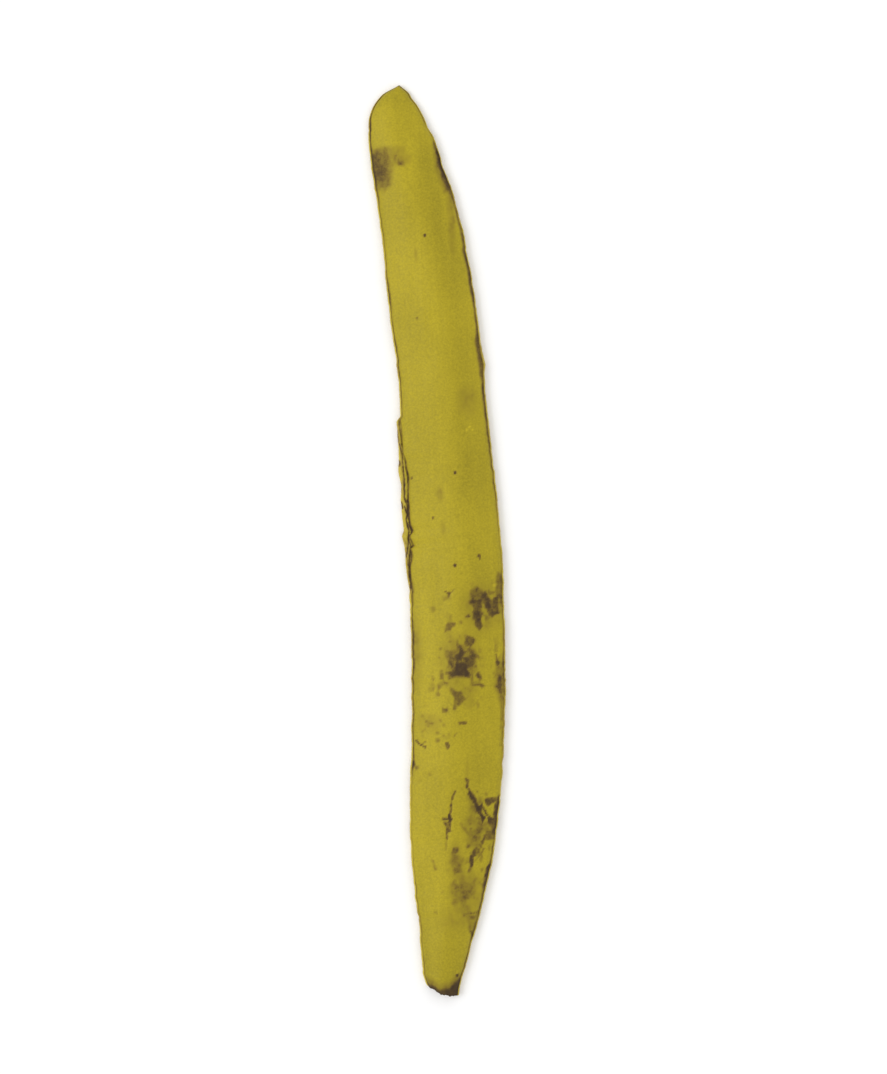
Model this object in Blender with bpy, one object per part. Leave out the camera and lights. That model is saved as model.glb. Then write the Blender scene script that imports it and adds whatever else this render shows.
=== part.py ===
"""A strip of banana peel, lying with its outer skin up.

The strip was torn along the whole fruit, between two lines from the neck to the blossom end, so it
is one piece of skin and pith: a low arch across, gently bowed along, with two torn long edges, a
ragged tear at the neck and a blunt point at the blossom end. +Y runs from the neck to the blossom
end and +Z points up. The origin is on the table, under the middle of the strip's footprint.
Lengths are in metres. Outline points are (distance from the neck, distance across) in millimetres.
"""

import bisect

import bmesh
import bpy

MM = 0.001

# Driving dimensions
LENGTH = 210.0 * MM  # from the lowest corner of the neck's tear to the blossom tip
FOOT_WIDTH = 2.2 * MM  # the band along each torn edge that lies flat on the table
FOOT_ROUNDING = 0.3 * MM  # how far the torn wall pulls in where it meets the table

# Mesh density
COLUMNS = 12  # faces across the skin, and as many across the underside
STATIONS = 56  # cross-sections along the strip
STATION_CROWDING = 1.35  # above 1, the sections crowd towards the blossom tip, where the outline turns in

# The two torn edges, seen from above. The whole strip bows to +X, as the side of a fruit does.
LEFT_EDGE = [
    (0.0, -2.9), (2.4, -3.7), (6.0, -4.75), (18.0, -5.05), (34.0, -6.0), (46.0, -5.7), (58.0, -4.75),
    (80.0, -3.72), (100.0, -4.15), (120.0, -4.5), (132.0, -4.45), (139.0, -3.55), (158.0, -4.9),
    (180.0, -6.15), (197.0, -7.8), (202.0, -7.5), (204.5, -6.8), (208.0, -4.2), (210.0, -0.3),
]  # fmt: skip
RIGHT_EDGE = [
    (0.0, 3.3), (10.0, 6.4), (20.0, 9.6), (32.0, 12.9), (50.0, 15.8), (72.0, 17.7), (100.0, 18.35),
    (120.0, 17.45), (148.0, 16.1), (172.0, 13.5), (184.0, 11.2), (193.0, 8.5), (202.0, 5.5),
    (207.0, 2.8), (210.0, 0.3),
]  # fmt: skip

# How far the torn pith shows beyond the skin's own edge. On the left a flap of pith hangs out half way.
LEFT_LIP = [
    (0.0, 0.35), (88.0, 0.35), (98.0, 1.0), (113.0, 1.9), (124.0, 1.4), (134.0, 0.5), (210.0, 0.3),
]  # fmt: skip
RIGHT_LIP = [
    (0.0, 0.35), (110.0, 0.35), (138.0, 0.7), (145.0, 1.3), (152.0, 0.8), (168.0, 0.6), (182.0, 1.1),
    (190.0, 1.1), (197.0, 0.4), (210.0, 0.3),
]  # fmt: skip

# Heights above the table along the strip
SKIN_CREST = [
    (0.0, 3.3), (12.0, 3.8), (40.0, 4.7), (100.0, 5.3), (160.0, 5.0), (190.0, 4.3), (203.0, 3.2),
    (210.0, 1.6),
]  # fmt: skip
SKIN_RIM = [(0.0, 1.9), (40.0, 2.1), (150.0, 2.1), (195.0, 1.9), (210.0, 1.3)]
LIP_HEIGHT = [(0.0, 0.9), (195.0, 0.9), (210.0, 0.6)]
HOLLOW = [
    (0.0, 0.6), (12.0, 1.0), (40.0, 1.7), (100.0, 2.2), (160.0, 2.0), (190.0, 1.4), (203.0, 0.7),
    (210.0, 0.2),
]  # fmt: skip

# The fruit's long ridge crosses the strip a little: its place across, -1 at the left edge and 1 at the right
RIDGE = [(0.0, 0.05), (50.0, 0.0), (105.0, 0.25), (160.0, 0.3), (195.0, -0.1), (210.0, 0.0)]
SKIN_ROUNDNESS = 1.7  # 2 is a plain arch, and less makes the ridge sharper
HOLLOW_ROUNDNESS = 2.2

# The neck's tear: how far it lies above the lowest corner, by place across, and how far up it is felt
NECK_TEAR = [(-1.0, 2.4), (-0.6, 1.6), (0.0, 0.7), (0.6, 0.3), (1.0, 0.0)]
TEAR_REACH = 15.0 * MM

PEEL_COLOUR = (0.42, 0.335, 0.033, 1.0)
PEEL_ROUGHNESS = 0.5


def smooth_curve(points):
    """A curve through the points, as a function. It bends smoothly and never swings past a point."""
    places = [place for place, _ in points]
    values = [value for _, value in points]
    rises = [(b - a) / (q - p) for (p, a), (q, b) in zip(points, points[1:])]
    inner = [2 * a * b / (a + b) if a * b > 0 else 0.0 for a, b in zip(rises, rises[1:])]
    slopes = [rises[0], *inner, rises[-1]]

    def curve(place):
        place = min(max(place, places[0]), places[-1])
        i = min(bisect.bisect_right(places, place), len(places) - 1) - 1
        span = places[i + 1] - places[i]
        t = (place - places[i]) / span
        return (
            (2 * t**3 - 3 * t**2 + 1) * values[i]
            + (t**3 - 2 * t**2 + t) * span * slopes[i]
            + (3 * t**2 - 2 * t**3) * values[i + 1]
            + (t**3 - t**2) * span * slopes[i + 1]
        )

    return curve


def along(points):
    """The same, from (millimetres from the neck, millimetres) to metres in and out."""
    curve = smooth_curve(points)
    return lambda y: curve(y / MM) * MM


left_edge, right_edge = along(LEFT_EDGE), along(RIGHT_EDGE)
left_lip, right_lip = along(LEFT_LIP), along(RIGHT_LIP)
skin_crest, skin_rim = along(SKIN_CREST), along(SKIN_RIM)
lip_height, hollow = along(LIP_HEIGHT), along(HOLLOW)
ridge_by_mm = smooth_curve(RIDGE)
neck_tear = smooth_curve(NECK_TEAR)


def arch(across, ridge, roundness):
    """1 over the ridge and 0 at both edges."""
    side = 1 + ridge if across < ridge else 1 - ridge
    return 1 - abs((across - ridge) / side) ** roundness


def torn(y, across):
    """Where this place of the section at y lies along the strip, because the neck's end is torn aslant."""
    return y + neck_tear(across) * MM * max(0.0, 1 - y / TEAR_REACH)


def section(y):
    """The closed cross-section at y: skin from left to right, right wall, underside back, left wall."""
    y_left, y_right = torn(y, -1), torn(y, 1)
    left, right = left_edge(y_left), right_edge(y_right)
    width = right - left
    foot = min(FOOT_WIDTH, 0.22 * width)
    pull_in = min(FOOT_ROUNDING, 0.1 * width)
    skin_left = left + min(left_lip(y), 0.15 * width)
    skin_right = right - min(right_lip(y), 0.15 * width)
    places = [2 * i / COLUMNS - 1 for i in range(COLUMNS + 1)]

    def row(start, end, height):
        return [(start + (end - start) * (p + 1) / 2, torn(y, p), height(p)) for p in places]

    rim, crest, ridge = skin_rim(y), skin_crest(y), ridge_by_mm(y / MM)
    skin = row(skin_left, skin_right, lambda p: rim + (crest - rim) * arch(p, ridge, SKIN_ROUNDNESS))
    underside = row(left + foot, right - foot, lambda p: hollow(y) * arch(p, 0.0, HOLLOW_ROUNDNESS))
    right_wall = [(right, y_right, lip_height(y)), (right - pull_in, y_right, 0.0)]
    left_wall = [(left + pull_in, y_left, 0.0), (left, y_left, lip_height(y))]
    return skin + right_wall + underside[::-1] + left_wall


def close_end(mesh, ring):
    """Faces from the skin down to the underside, across one end of the strip."""
    skin, underside = ring[: COLUMNS + 1], ring[COLUMNS + 3 : 2 * COLUMNS + 4][::-1]
    for i in range(COLUMNS):
        mesh.faces.new((skin[i], skin[i + 1], underside[i + 1], underside[i]))
    mesh.faces.new((skin[-1], *ring[COLUMNS + 1 : COLUMNS + 3], underside[-1]))
    mesh.faces.new((underside[0], *ring[-2:], skin[0]))


def peel_mesh():
    """The strip as one closed mesh: its sections joined one to the next, and both ends closed."""
    stations = [LENGTH * (1 - (1 - i / STATIONS) ** STATION_CROWDING) for i in range(STATIONS + 1)]
    mesh = bmesh.new()
    rings = [[mesh.verts.new(point) for point in section(y)] for y in stations]
    for near, far in zip(rings, rings[1:]):
        for i in range(len(near)):
            mesh.faces.new((near[i - 1], near[i], far[i], far[i - 1]))
    close_end(mesh, rings[0])
    close_end(mesh, rings[-1])
    bmesh.ops.recalc_face_normals(mesh, faces=mesh.faces)
    return mesh


def centre_on_footprint(mesh):
    """Moves the mesh so that the origin is under the middle of its footprint."""
    middle = [(min(v.co[i] for v in mesh.verts) + max(v.co[i] for v in mesh.verts)) / 2 for i in (0, 1)]
    bmesh.ops.translate(mesh, verts=mesh.verts, vec=(-middle[0], -middle[1], 0.0))


def peel_material():
    material = bpy.data.materials.new("peel")
    material.use_nodes = True
    shader = material.node_tree.nodes["Principled BSDF"]
    shader.inputs["Base Color"].default_value = PEEL_COLOUR
    shader.inputs["Roughness"].default_value = PEEL_ROUGHNESS
    shader.inputs["Metallic"].default_value = 0.0
    return material


def main():
    for obj in list(bpy.data.objects):
        bpy.data.objects.remove(obj)
    mesh = peel_mesh()
    centre_on_footprint(mesh)
    data = bpy.data.meshes.new("banana_peel")
    mesh.to_mesh(data)
    mesh.free()
    data.materials.append(peel_material())
    data.shade_smooth()
    data.set_sharp_from_angle(angle=0.7)
    peel = bpy.data.objects.new("banana_peel", data)
    bpy.context.scene.collection.objects.link(peel)


main()
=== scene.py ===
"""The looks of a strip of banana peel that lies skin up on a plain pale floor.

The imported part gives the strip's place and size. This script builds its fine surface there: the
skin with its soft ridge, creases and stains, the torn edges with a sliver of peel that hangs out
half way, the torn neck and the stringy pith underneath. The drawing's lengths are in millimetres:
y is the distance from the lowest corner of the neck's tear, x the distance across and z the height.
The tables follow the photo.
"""

import math

import bpy
import numpy as np
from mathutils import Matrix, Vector


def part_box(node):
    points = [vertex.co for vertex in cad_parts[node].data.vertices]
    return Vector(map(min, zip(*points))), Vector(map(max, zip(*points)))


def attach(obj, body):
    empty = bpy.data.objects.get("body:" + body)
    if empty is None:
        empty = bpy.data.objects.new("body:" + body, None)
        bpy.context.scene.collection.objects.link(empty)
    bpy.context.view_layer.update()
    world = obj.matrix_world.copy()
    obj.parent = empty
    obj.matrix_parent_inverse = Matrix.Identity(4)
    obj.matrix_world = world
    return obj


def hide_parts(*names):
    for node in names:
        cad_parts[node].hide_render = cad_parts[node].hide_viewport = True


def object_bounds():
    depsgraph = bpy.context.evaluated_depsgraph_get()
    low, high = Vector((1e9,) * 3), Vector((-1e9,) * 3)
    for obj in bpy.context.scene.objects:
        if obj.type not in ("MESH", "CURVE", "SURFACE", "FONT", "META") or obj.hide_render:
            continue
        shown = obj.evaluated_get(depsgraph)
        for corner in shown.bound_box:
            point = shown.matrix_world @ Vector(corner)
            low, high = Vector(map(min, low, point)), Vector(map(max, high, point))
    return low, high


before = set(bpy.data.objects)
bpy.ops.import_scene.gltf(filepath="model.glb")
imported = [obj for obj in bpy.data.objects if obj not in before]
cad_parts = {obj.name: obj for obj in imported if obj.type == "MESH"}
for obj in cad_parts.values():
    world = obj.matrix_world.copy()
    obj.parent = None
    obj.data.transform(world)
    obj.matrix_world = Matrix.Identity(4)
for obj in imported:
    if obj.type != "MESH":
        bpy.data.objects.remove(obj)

CAD_LOW, CAD_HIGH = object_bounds()
PEEL_LOW, PEEL_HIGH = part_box("banana_peel")
DRAWN_LENGTH = 210.0  # mm, the length for which the tables below are drawn
MM = (PEEL_HIGH[1] - PEEL_LOW[1]) / DRAWN_LENGTH

# Mesh density
COLUMNS = 72  # faces across the skin, and as many across the underside
LIP_ROWS = 10  # faces from the skin's edge to the strip's outer edge
WALL_ROWS = 3  # faces from the outer edge down to the table
STATIONS = 600  # faces along the strip
CAP_ROWS = LIP_ROWS + WALL_ROWS + 1  # faces from the skin to the underside across each end

# The outer edges, seen from above: (y, x). Half way up the left one a sliver of peel hangs out.
LEFT_EDGE = [
    (0.0, -2.9), (2.4, -3.7), (5.5, -4.65), (12.0, -4.85), (18.3, -4.95), (19.7, -5.3), (34.0, -6.0),
    (46.0, -5.7), (58.0, -4.75), (80.0, -3.72), (93.0, -3.45), (98.5, -3.9), (103.8, -4.1), (106.5, -4.45),
    (107.5, -4.1), (114.0, -4.3), (117.8, -4.1), (121.3, -4.6), (124.5, -4.3), (132.6, -4.55),
    (133.9, -3.6), (139.0, -3.55), (158.0, -4.9), (180.0, -6.15), (197.0, -7.8), (202.0, -7.5),
    (204.5, -6.8), (208.0, -4.2), (210.0, -0.3),
]  # fmt: skip
RIGHT_EDGE = [
    (0.0, 3.3), (1.5, 3.62), (3.0, 4.1), (10.0, 6.4), (20.0, 9.6), (32.0, 12.9), (50.0, 15.8), (72.0, 17.7),
    (100.0, 18.35), (120.0, 17.45), (142.5, 16.3), (144.6, 16.55), (148.0, 16.1), (160.0, 14.95),
    (166.0, 14.35), (172.0, 13.45), (175.2, 13.15), (178.0, 12.5), (182.0, 11.7), (185.9, 10.85),
    (188.0, 10.0), (191.0, 9.05), (194.0, 8.4), (197.6, 7.25), (200.0, 6.1), (202.0, 5.4), (205.0, 4.05),
    (207.0, 2.65), (208.0, 2.2), (210.0, 0.1),
]  # fmt: skip

# How far the torn pith reaches beyond the skin's own edge: (y, width)
LEFT_LIP = [
    (0.0, 0.4), (88.0, 0.4), (93.3, 0.7), (98.4, 0.9), (101.8, 1.4), (103.2, 1.3), (103.9, 2.15),
    (104.7, 2.0), (106.2, 1.75), (106.9, 2.1), (109.4, 1.6), (114.0, 1.75), (117.7, 1.55), (120.0, 2.15),
    (123.9, 1.5), (125.6, 0.95), (132.0, 1.0), (134.0, 0.4), (196.0, 0.35), (210.0, 0.25),
]  # fmt: skip
RIGHT_LIP = [
    (0.0, 0.35), (130.0, 0.35), (143.0, 0.45), (145.0, 0.7), (149.0, 0.5), (154.0, 0.35), (210.0, 0.25),
]  # fmt: skip

# Heights above the table: (y, z)
SKIN_CREST = [
    (0.0, 3.3), (12.0, 3.8), (40.0, 4.7), (100.0, 5.15), (160.0, 4.9), (190.0, 4.3), (203.0, 3.2),
    (210.0, 1.6),
]  # fmt: skip
SKIN_RIM = [(0.0, 1.9), (40.0, 2.1), (150.0, 2.1), (195.0, 1.9), (210.0, 1.3)]
LIP_HEIGHT = [(0.0, 0.9), (195.0, 0.9), (210.0, 0.6)]
HOLLOW = [
    (0.0, 0.6), (12.0, 1.0), (40.0, 1.7), (100.0, 2.2), (160.0, 2.0), (190.0, 1.4), (203.0, 0.7),
    (210.0, 0.2),
]  # fmt: skip
FOOT_WIDTH = 2.2
FOOT_ROUNDING = 0.3

# Where the ridge between the fruit's two faces lies: (y, place from -1 at the left to 1 at the right)
RIDGE = [(0.0, 0.05), (50.0, 0.0), (75.0, 0.05), (105.0, 0.22), (160.0, 0.25), (195.0, -0.05), (210.0, 0.0)]
RIDGE_ROUNDING = 0.45  # 0 is a sharp fold
TIP_ROUNDING = 1.5  # added to it where the ridge fades towards the tip
RIDGE_FADES = (175.0, 200.0)
HOLLOW_ROUNDNESS = 2.2

# The neck's tear: (place from left to right, how far it lies above the lowest corner)
NECK_TEAR = [
    (-1.0, 2.6), (-0.96, 2.15), (-0.8, 2.0), (-0.53, 1.5), (-0.25, 0.78), (-0.11, 0.55), (0.17, 0.42),
    (0.38, 0.33), (0.43, 0.08), (1.0, 0.0),
]  # fmt: skip
TEAR_REACH = 12.0  # how far up the strip the tear is felt
TEAR_JAGS = [(0.1, 11), (0.07, 31)]  # (height, how many across half of the strip)
TEAR_CORNER = 0.15  # the share of the half by each corner where the jags fade
TORN_WAVES = [(0.1, 2.3), (0.06, 0.8)]  # the long edges' unevenness: (depth, length)
TORN_CALM = 12.0  # how far before the tip it fades

LINE_WIDTH = 0.7  # scales the widths below

# Brown lines where the skin was torn: (y, strength, width of the line inside the skin's edge)
LEFT_LINE = [
    (0, 0.9, 0.4), (4, 0.5, 0.25), (10, 0.4, 0.22), (20, 0.35, 0.2), (24, 0.6, 0.25), (28, 0.35, 0.2),
    (35, 0.25, 0.2), (44, 0.25, 0.2), (50, 0.4, 0.25), (53, 0.9, 0.45), (58, 0.9, 0.35), (62, 0.6, 0.3),
    (70, 0.7, 0.3), (78, 0.95, 0.4), (84, 0.95, 0.45), (88, 0.8, 0.35), (94, 0.9, 0.4), (104, 1.0, 0.35),
    (112, 1.0, 0.35), (122, 0.9, 0.3), (128, 0.6, 0.3), (134, 0.6, 0.3), (140, 0.7, 0.3), (150, 0.9, 0.35),
    (157, 0.5, 0.3), (160, 0.85, 0.35), (164, 0.9, 0.4), (168, 0.35, 0.3), (180, 0.5, 0.3),
    (190, 0.8, 0.45), (197, 0.9, 0.4), (200, 1.0, 0.5), (204, 0.9, 0.35), (210, 0.8, 0.3),
]  # fmt: skip
RIGHT_LINE = [
    (0, 1.0, 0.6), (5, 0.7, 0.3), (12, 0.6, 0.3), (14, 0.9, 0.6), (18, 0.5, 0.4), (22, 0.9, 0.6),
    (27, 1.0, 1.0), (29.5, 1.0, 1.0), (31, 0.3, 0.3), (36, 0.8, 0.4), (44, 1.0, 0.6), (45.3, 0.9, 0.5),
    (46, 0.1, 0.3), (52, 0.1, 0.3), (60, 0.5, 0.3), (65, 0.6, 0.4), (72, 0.7, 0.4), (76, 0.8, 0.5),
    (80, 0.5, 0.35), (88, 0.5, 0.4), (92, 0.6, 0.7), (96, 0.5, 0.5), (99, 0.1, 0.3), (104, 0.3, 0.3),
    (112, 0.55, 0.35), (120, 0.75, 0.4), (127, 0.85, 0.5), (133, 0.9, 0.6), (140, 0.9, 0.8),
    (145, 0.95, 1.3), (150, 0.9, 1.2), (153, 0.85, 0.7), (157, 0.8, 0.45), (162, 0.95, 0.7),
    (165, 0.9, 0.9), (174, 0.85, 0.7), (181, 0.6, 0.5), (184, 0.6, 0.8), (186, 1.0, 1.3), (190, 1.0, 1.3),
    (194, 1.0, 0.9), (197, 0.5, 0.4), (200, 0.3, 0.3), (203, 0.85, 0.35), (210, 0.8, 0.3),
]  # fmt: skip

# Brown patches with ragged borders: (strength, how soft the border is, corners as (y, x))
PATCHES = [
    # The bruise by the blossom end, and the brown by the right edge across from it
    (0.42, 1.3, [(194.3, -8.2), (195.2, -5.4), (195.0, -3.6), (191.0, -3.3), (187.0, -3.6), (186.0, -7.5)]),
    (0.45, 1.4, [(194.0, -8.0), (194.6, -6.0), (190.8, -4.6), (188.6, -5.0), (188.5, -7.3)]),
    (0.35, 0.9, [(190.2, -6.6), (189.9, -5.3), (188.7, -5.3), (188.8, -6.3)]),
    (0.15, 0.8, [(195.6, -4.0), (195.4, 0.6), (192.0, 0.2), (191.5, -2.0), (187.0, -3.4), (185.0, -4.8)]),
    (0.4, 1.2, [(196.0, 7.6), (191.0, 7.6), (185.0, 9.4), (186.5, 11.0), (196.0, 8.6)]),
    # Beside the upper right of the stained stretch
    (0.35, 0.5, [(93.1, 10.8), (93.5, 12.1), (92.0, 14.0), (90.4, 13.6), (90.6, 10.4)]),
    (0.64, 0.25, [(90.5, 10.1), (90.9, 11.4), (90.6, 13.0), (86.5, 12.8), (84.8, 13.0), (83.9, 12.4),
                  (84.1, 11.8), (85.4, 11.3), (89.2, 10.9)]),
    (0.4, 0.4, [(87.6, 11.5), (87.4, 12.6), (84.6, 12.6), (84.6, 11.9)]),
    (0.62, 0.3, [(91.7, 13.0), (92.4, 13.9), (91.3, 14.5), (90.7, 15.5), (91.1, 16.6), (89.2, 16.6),
                 (87.6, 17.0), (87.2, 16.1), (86.6, 15.3), (87.1, 14.7), (88.2, 14.4), (88.9, 13.7),
                 (90.5, 13.8)]),
    (0.5, 0.25, [(89.7, 14.0), (89.6, 15.1), (88.7, 14.9), (88.9, 13.9)]),
    (0.45, 0.4, [(88.0, 15.0), (87.6, 16.2), (86.8, 15.5), (87.0, 14.9)]),
    (0.45, 0.5, [(97.0, 17.0), (96.0, 18.2), (91.0, 18.0), (91.0, 16.6), (93.3, 16.5)]),
    (0.45, 0.2, [(92.2, 16.9), (92.1, 17.3), (91.3, 17.2), (91.4, 16.8)]),
    (0.25, 0.5, [(91.0, 17.0), (90.8, 18.2), (87.0, 18.0), (87.8, 17.2)]),
    # The stained stretch, from above
    (0.45, 0.25, [(93.2, 5.5), (92.8, 6.0), (92.2, 5.8), (92.4, 5.3)]),
    (0.2, 0.4, [(91.9, 4.2), (92.0, 5.8), (91.2, 5.8), (91.2, 4.3)]),
    (0.5, 0.2, [(87.5, 9.05), (87.4, 9.8), (87.1, 10.1), (86.9, 9.8), (86.9, 9.2)]),
    (0.5, 0.35, [(85.3, 4.4), (85.9, 5.0), (85.9, 6.0), (85.7, 6.7), (84.7, 6.7), (85.1, 6.1), (84.4, 5.7),
                 (84.1, 4.8), (83.7, 4.1), (84.6, 4.3)]),
    (0.22, 0.4, [(87.8, 5.5), (87.6, 5.9), (86.0, 6.0), (86.0, 5.1)]),
    (0.62, 0.25, [(82.0, 8.9), (82.4, 9.9), (81.9, 10.8), (80.9, 10.7), (80.3, 9.9), (80.3, 9.0),
                  (80.9, 8.6)]),
    (0.45, 0.3, [(81.2, 7.0), (81.1, 7.4), (80.3, 7.8), (79.9, 7.0), (80.3, 6.8)]),
    (0.8, 0.3, [(79.8, 7.7), (79.2, 8.6), (79.2, 9.1), (78.5, 8.4), (78.0, 7.8), (77.0, 7.8), (76.8, 6.8),
                (77.6, 6.1), (78.3, 6.4), (79.0, 7.3)]),
    (0.93, 0.35, [(76.9, 6.5), (76.7, 8.6), (75.8, 8.9), (74.4, 9.0), (73.6, 9.3), (73.3, 8.6), (73.6, 7.7),
                  (73.6, 6.4), (74.6, 6.1), (75.5, 6.4)]),
    (0.6, 0.3, [(77.9, 7.9), (77.8, 9.5), (78.2, 10.9), (76.7, 10.9), (75.8, 10.2), (75.5, 8.9),
                (76.7, 8.5)]),
    (0.4, 0.25, [(79.8, 9.4), (79.6, 9.8), (78.4, 10.9), (77.9, 11.9), (77.3, 12.5), (76.8, 12.0),
                 (77.3, 10.9)]),
    (0.65, 0.3, [(74.5, 4.1), (74.9, 5.0), (75.1, 6.2), (73.6, 6.4), (73.5, 5.0), (73.0, 4.8), (74.1, 4.6)]),
    (0.3, 0.5, [(79.3, 4.4), (79.0, 5.4), (77.0, 6.2), (75.2, 5.8), (76.0, 4.9), (78.0, 4.3)]),
    (0.26, 0.6, [(80.0, 6.0), (80.4, 9.8), (78.5, 11.4), (75.5, 11.0), (73.2, 9.4), (73.2, 5.0),
                 (76.0, 4.8)]),
    (0.68, 0.3, [(73.6, 10.9), (74.3, 11.4), (74.2, 11.9), (73.3, 12.3), (72.2, 12.2), (72.0, 11.7),
                 (73.0, 11.6)]),
    (0.6, 0.3, [(71.8, 10.1), (71.6, 11.1), (71.3, 12.6), (70.8, 12.2), (71.1, 11.4), (71.2, 10.2)]),
    (0.5, 0.35, [(70.9, 5.0), (70.1, 5.9), (70.1, 7.3), (69.0, 7.7), (68.4, 8.2), (67.3, 7.4), (66.9, 6.6),
                 (67.2, 6.1), (66.2, 5.9), (66.2, 5.3), (68.7, 5.6)]),
    (0.42, 0.25, [(66.5, 2.7), (66.2, 3.4), (66.3, 4.3), (65.7, 4.1), (65.4, 3.4), (65.5, 2.8)]),
    (0.28, 0.4, [(71.9, 2.0), (72.4, 3.4), (71.9, 4.2), (71.5, 3.0), (70.4, 2.0)]),
    (0.6, 0.2, [(63.1, 6.0), (63.2, 6.8), (62.9, 8.1), (62.6, 8.1), (62.7, 7.2), (62.4, 6.5)]),
    (0.65, 0.2, [(58.5, 3.2), (58.4, 3.75), (57.6, 4.05), (56.9, 3.75), (57.0, 3.2)]),
    (0.95, 0.25, [(54.3, -5.0), (54.3, -4.2), (53.4, -4.2), (53.3, -4.7)]),
    # Along the right edge
    (0.75, 0.2, [(76.2, 15.6), (76.7, 15.9), (76.6, 16.6), (75.9, 16.5), (75.5, 15.9)]),
    (0.68, 0.3, [(73.3, 15.9), (73.3, 16.5), (71.9, 16.6), (70.3, 16.5), (69.0, 16.7), (68.2, 16.5),
                 (69.2, 16.1), (70.5, 15.8), (72.1, 15.95)]),
    # Partly brown haze, partly painted shade where the right face bends down at a fold
    (0.32, 0.7, [(77.5, 15.8), (76.0, 17.6), (68.0, 17.2), (66.0, 16.4), (70.0, 15.3)]),
    # The torn corner by the creases
    (0.92, 0.2, [(43.8, 9.7), (43.5, 10.4), (44.2, 10.9), (43.4, 11.0), (42.6, 10.6), (41.5, 10.8),
                 (40.7, 11.5), (39.9, 10.9), (39.2, 10.7), (41.1, 10.4), (42.4, 9.5)]),
    (0.3, 0.5, [(45.6, 10.2), (45.4, 10.9), (44.2, 10.9), (43.8, 9.6)]),
    (0.66, 0.2, [(45.1, 11.6), (45.2, 15.2), (43.3, 14.8), (44.0, 13.8), (43.5, 12.2), (44.2, 11.8)]),
    (0.75, 0.3, [(43.8, 13.8), (44.0, 15.0), (40.4, 14.4), (38.1, 14.0), (36.7, 12.9), (38.1, 12.5),
                 (39.2, 12.2), (40.6, 12.1), (40.7, 13.3)]),
    (0.45, 0.25, [(35.6, 10.6), (37.2, 10.8), (38.3, 13.6), (35.9, 13.7)]),
    (0.25, 0.6, [(39.6, 9.8), (39.6, 12.2), (37.4, 12.2), (37.4, 9.6)]),
    # Between the creases and the neck
    (0.9, 0.2, [(42.0, 3.1), (41.9, 3.5), (40.8, 3.8), (40.3, 3.5), (40.4, 3.0)]),
    (0.35, 0.3, [(40.5, 2.0), (40.5, 3.2), (38.3, 3.1), (37.5, 2.2)]),
    (0.5, 0.25, [(34.9, 7.5), (34.9, 7.8), (34.2, 7.5), (34.2, 7.0)]),
    (0.45, 0.25, [(35.4, 10.5), (35.2, 10.9), (34.4, 10.7), (34.5, 10.3)]),
    (0.55, 0.2, [(33.7, 8.5), (32.9, 8.8), (32.2, 8.7), (32.1, 8.2), (33.0, 8.3)]),
    (0.75, 0.2, [(32.1, 7.6), (32.0, 8.2), (31.0, 8.2), (29.9, 7.8), (29.9, 7.4)]),
    (0.35, 0.4, [(30.0, 7.2), (29.8, 7.8), (28.3, 7.0), (28.4, 6.6)]),
    (0.45, 0.35, [(34.2, 3.8), (34.3, 4.8), (33.4, 4.6), (32.9, 4.1), (33.3, 3.5)]),
    (0.25, 0.6, [(33.0, 3.5), (32.2, 5.4), (29.0, 5.0), (28.3, 4.0), (30.0, 3.4)]),
    (0.28, 0.35, [(31.9, -1.5), (31.6, -0.8), (29.3, -0.3), (29.3, -0.8)]),
    (0.2, 0.7, [(26.0, 2.7), (26.1, 8.0), (24.0, 8.0), (22.0, 6.0), (21.8, 3.0)]),
    (0.28, 0.5, [(24.2, 5.8), (24.0, 6.9), (22.2, 6.8), (22.4, 5.8)]),
    (0.2, 0.8, [(38.0, 7.6), (38.0, 9.9), (34.0, 9.4), (34.5, 7.4)]),
    (0.35, 0.3, [(19.9, -1.6), (19.9, -0.6), (19.3, -0.7), (19.3, -1.6)]),
    (0.25, 0.6, [(18.5, 6.4), (18.3, 8.6), (15.0, 7.8), (15.0, 6.6)]),
    (0.95, 0.15, [(29.9, 12.0), (29.7, 13.0), (28.3, 12.6), (26.7, 12.2), (24.5, 11.6), (22.0, 10.9),
                  (22.0, 10.1), (24.5, 10.5), (27.0, 10.9), (27.4, 10.6), (28.1, 11.2), (29.2, 11.0)]),
    (0.95, 0.15, [(15.0, 7.9), (14.6, 8.3), (12.8, 7.7), (12.8, 7.1), (13.9, 7.1), (14.1, 7.5)]),
]  # fmt: skip

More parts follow.
